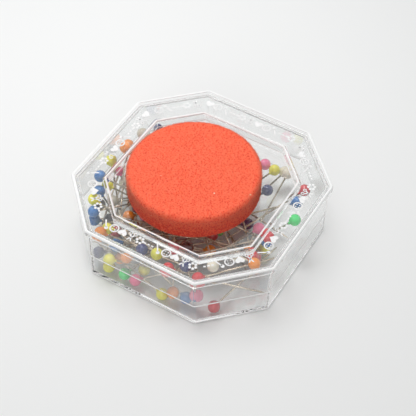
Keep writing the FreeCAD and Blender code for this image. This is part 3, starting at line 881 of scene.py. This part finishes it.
# %% Make the adhesive disc
FILM_EDGE = 0.05 * MM
FILM_LIFT = 0.02 * MM


def adhesive_finish():
    """A cream film, with a fine pattern of trapped air in its tint."""
    material, tree, shader = start_material("adhesive_film", Roughness=0.55)
    air = add_node(tree, "ShaderNodeTexVoronoi", Vector=object_coordinates(tree), Scale=900.0)
    tint = ramp(tree, air.outputs["Distance"], [(0.2, (0.80, 0.74, 0.62)), (0.8, (0.90, 0.86, 0.78))])
    tree.links.new(tint, shader.inputs["Base Color"])
    return material


def adhesive_disc():
    """A thin disc with softened edges, a hair above the floor of the well."""
    low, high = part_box("adhesive_disc")
    radius = (high.x - low.x) / 2
    bottom, top = low.z + FILM_LIFT, high.z
    radii = np.array([0.0, radius - FILM_EDGE, radius, radius, radius - FILM_EDGE, 0.0])
    heights = np.array([bottom, bottom, bottom + FILM_EDGE, top - FILM_EDGE, top, top])
    points, faces = revolved(radii, heights, 96)
    points += np.array([(low.x + high.x) / 2, (low.y + high.y) / 2, 0.0])
    return new_piece("adhesive_film", points, faces, adhesive_finish())


film = adhesive_disc()
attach(film, "lid")
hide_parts("adhesive_disc")
print("film", triangle_count(film), "triangles")

# %% [markdown]
# ## Print on the lid
#
# The border round the well carries a row of small marks in white ink. Here they are plain sewing marks:
# a leaning ball-headed pin, a button with four holes, a heart, scissors, a flower and a row of stitches.
# Ink is a thin raised film, so each stroke is a low flat bar or spot just above the plastic.

# %% Strokes and spots
def bar(start, end, width):
    """The four corners of a stroke between two points, in millimetres."""
    start, end = np.array(start, float), np.array(end, float)
    across = np.array([start[1] - end[1], end[0] - start[0]])
    across *= width / 2 / np.linalg.norm(across)
    return np.array([start - across, end - across, end + across, start + across])


def round_spot(x, y, radius, steps=16):
    """Points of a circle, anticlockwise."""
    angles = np.linspace(0.0, 2.0 * math.pi, steps, endpoint=False)
    return np.stack([x + radius * np.cos(angles), y + radius * np.sin(angles)], axis=1)


def ring(x, y, radius, width, steps=14):
    """A circle as a chain of bars."""
    corners = round_spot(x, y, radius, steps)
    return [bar(a, b, width) for a, b in zip(corners, np.roll(corners, -1, axis=0))]


# %% The six marks, in millimetres
def pin_mark():
    return [round_spot(0.75, 1.05, 0.55), bar((0.6, 0.85), (-0.95, -1.5), 0.4)]


def stitch_mark():
    return [bar((across - 0.35, 0.0), (across + 0.35, 0.0), 0.45) for across in (-1.15, 0.0, 1.15)]


def button_mark():
    holes = [round_spot(0.42 * x, 0.42 * y, 0.2, 8) for x in (-1, 1) for y in (-1, 1)]
    return ring(0.0, 0.0, 1.25, 0.42) + holes


def scissors_mark():
    blades = [bar((-0.55, -0.6), (0.65, 1.55), 0.4), bar((0.55, -0.6), (-0.65, 1.55), 0.4)]
    return blades + ring(-0.72, -1.05, 0.42, 0.32, 10) + ring(0.72, -1.05, 0.42, 0.32, 10)


def flower_mark():
    turns = 2.0 * math.pi * np.arange(6) / 6
    return [round_spot(0.95 * math.cos(turn), 0.95 * math.sin(turn), 0.42, 10) for turn in turns]


def heart_mark(steps=28):
    """One outline: across is 16 sin cubed, up is 13 cos t - 5 cos 2t - 2 cos 3t - cos 4t, scaled down."""
    t = np.linspace(0.0, 2.0 * math.pi, steps, endpoint=False)
    across = 16.0 * np.sin(t) ** 3
    up = 13.0 * np.cos(t) - 5.0 * np.cos(2.0 * t) - 2.0 * np.cos(3.0 * t) - np.cos(4.0 * t)
    return [0.085 * np.column_stack([across, up])[::-1]]


MARKS = [pin_mark, button_mark, heart_mark, scissors_mark, flower_mark, stitch_mark]

# %% Lay the marks along the border
INK_HIGH = 0.05 * MM
INK_LIFT = 0.004 * MM
BAND_INSET = 6.0
MARK_SCALE = 1.12
LONG_COUNT, SHORT_COUNT = 11, 5
LONG_STEP, SHORT_STEP = 3.2, 3.3


def print_marks(material):
    """Every stroke as a low prism, laid along all eight sides with its foot towards the well.

    A point's place is the side's middle, plus its height times the direction out, plus its place in the
    row and its width times the direction along the side.
    """
    points, faces = [], []
    top = LID_TOP + INK_LIFT
    number = 0
    for side in range(8):
        facing = math.radians(SIDE_TURN * side)
        out = np.array([math.cos(facing), math.sin(facing)])
        along = np.array([-out[1], out[0]])
        far = (RIM_FLAT if side % 2 == 0 else RIM_CORNER) / MM - BAND_INSET
        count, step = (LONG_COUNT, LONG_STEP) if side % 2 == 0 else (SHORT_COUNT, SHORT_STEP)
        for place in (np.arange(count) - (count - 1) / 2) * step:
            for stroke in MARKS[number % len(MARKS)]():
                flat = out * (far + MARK_SCALE * stroke[:, 1:])
                flat = flat + along * (place + MARK_SCALE * stroke[:, :1])
                start = sum(len(group) for group in points)
                for height in (top, top + INK_HIGH):
                    points.append(np.column_stack([flat * MM, np.full(len(flat), height)]))
                around = np.arange(len(flat))
                following = np.roll(around, -1)
                lower, upper = start + around, start + len(flat) + around
                faces.append(list(lower))
                faces.append(list(upper[::-1]))
                faces += np.stack([lower, upper, upper[following], start + following], axis=1).tolist()
            number += 1
    return new_piece("lid_print", np.concatenate(points), faces, material)


# %% White ink
def ink_finish():
    """Matt white, a little thinner in places."""
    material, tree, shader = start_material("white_ink", Roughness=0.4)
    cover = add_node(tree, "ShaderNodeTexNoise", Vector=object_coordinates(tree), Scale=1500.0, Detail=3.0)
    tint = ramp(tree, cover.outputs["Fac"], [(0.3, (0.80, 0.80, 0.80)), (0.6, (0.93, 0.93, 0.93))])
    tree.links.new(tint, shader.inputs["Base Color"])
    return material


ink = print_marks(ink_finish())
ink.data.polygons.foreach_set("use_smooth", np.zeros(len(ink.data.polygons), bool))
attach(ink, "lid")
print("print", triangle_count(ink), "triangles")

# %% [markdown]
# ## Floor and light
#
# The box stands on a plain pale surface in soft light: a large lamp overhead and a little behind, a weaker
# one low in front, and a pale surround. A flat lid is a mirror, and a large lamp seen in it would hide what
# is under it. So the large lamps are left out of reflections, and a small dim one beside the first gives
# the heads their highlights.

# %% The floor
FLOOR_REACH = 1.5
FLOOR_DROP = 0.02 * MM


def add_floor():
    """One square a hair below the tray, so that the two never share a plane."""
    material, tree, shader = start_material(
        "pale_floor", Base_Color=(0.86, 0.865, 0.862, 1.0), Roughness=0.7
    )
    square = np.array([(-1.0, -1.0, 0.0), (1.0, -1.0, 0.0), (1.0, 1.0, 0.0), (-1.0, 1.0, 0.0)])
    points = FLOOR_REACH * square - np.array([0.0, 0.0, FLOOR_DROP])
    floor = new_piece("floor", points, [[0, 1, 2, 3]], material)


add_floor()


# %% The lamps
def add_lamp(name, azimuth, elevation, distance, size, power, mirrored):
    """A round lamp that faces the box from a direction: azimuth from the camera's side, elevation up."""
    level = math.radians(azimuth) + AZIMUTH
    rise = math.radians(elevation)
    towards = np.array([
        math.sin(level) * math.cos(rise), -math.cos(level) * math.cos(rise), math.sin(rise)
    ])
    data = bpy.data.lights.new(name, "AREA")
    data.shape = "DISK"
    data.size = size
    data.energy = power
    lamp = bpy.data.objects.new(name, data)
    bpy.context.scene.collection.objects.link(lamp)
    side = np.cross([0.0, 1.0, 0.0], towards)
    side /= np.linalg.norm(side)
    matrix = np.eye(4)
    matrix[:3, 0], matrix[:3, 1], matrix[:3, 2] = side, np.cross(towards, side), towards
    matrix[:3, 3] = towards * distance
    lamp.matrix_world = Matrix(matrix.tolist())
    lamp.visible_glossy = mirrored
    print(name, "at", [round(float(v), 3) for v in matrix[:3, 3]], "with", power, "W")


# Name, azimuth, elevation, distance and width in metres, watts, and whether the plastic mirrors it.
LAMPS = [
    ("overhead", -150.0, 70.0, 0.41, 0.21, 1.12, False),
    ("front_fill", -10.0, 28.0, 0.75, 0.35, 0.95, False),
    ("glint", -150.0, 72.0, 0.60, 0.14, 0.12, True),
]
for lamp_row in LAMPS:
    add_lamp(*lamp_row)

# %% [markdown]
# In a studio, white cards stand round clear things, because clear plastic looks like what it mirrors and
# bends. The surround does that here. It is bright where it is seen directly, in the plastic or through it,
# and dimmer as a source of light on matt surfaces, so that the shadows keep their depth.

# %% The surround
SURROUND_LIGHT, SURROUND_SEEN = 0.32, 1.0
SURROUND_COLOUR = (0.99, 1.0, 1.0, 1.0)


def add_surround():
    """Bright where a ray sees it directly, mirrored or bent, and dimmer for the light on surfaces."""
    world = bpy.data.worlds.new("surround")
    bpy.context.scene.world = world
    world.use_nodes = True
    tree = world.node_tree
    rays = add_node(tree, "ShaderNodeLightPath")
    seen = rays.outputs["Is Camera Ray"]
    for kind in ("Is Glossy Ray", "Is Transmission Ray"):
        either = add_node(tree, "ShaderNodeMath", operation="MAXIMUM")
        tree.links.new(seen, either.inputs[0])
        tree.links.new(rays.outputs[kind], either.inputs[1])
        seen = either.outputs[0]
    strength = add_node(
        tree, "ShaderNodeMapRange", Value=seen, To_Min=SURROUND_LIGHT, To_Max=SURROUND_SEEN
    )
    back = tree.nodes["Background"]
    back.inputs["Color"].default_value = SURROUND_COLOUR
    tree.links.new(strength.outputs["Result"], back.inputs["Strength"])
    print("surround:", SURROUND_LIGHT, "as light,", SURROUND_SEEN, "where it is seen")


add_surround()

# %% [markdown]
# ## How light is followed
#
# A ray that reaches a pin has crossed up to eight surfaces of clear plastic, and has to cross as many on
# its way out. Inside a wall it may be mirrored many times before it leaves, and each time counts as a
# glossy bounce. So far more bounces are allowed than usual, because a path that is cut short goes black.

# %% Light path settings
BOUNCES = 64
SHADOW_SURFACES = 32
BRIGHTEST_INDIRECT = 4.0

scene = bpy.context.scene
scene.view_settings.view_transform = "Standard"
scene.cycles.max_bounces = BOUNCES
scene.cycles.transmission_bounces = BOUNCES
scene.cycles.glossy_bounces = BOUNCES
scene.cycles.transparent_max_bounces = SHADOW_SURFACES
scene.cycles.caustics_refractive = False
scene.cycles.caustics_reflective = False
scene.cycles.sample_clamp_indirect = BRIGHTEST_INDIRECT
print("bounces:", BOUNCES, "through plastic,", SHADOW_SURFACES, "for shadows")
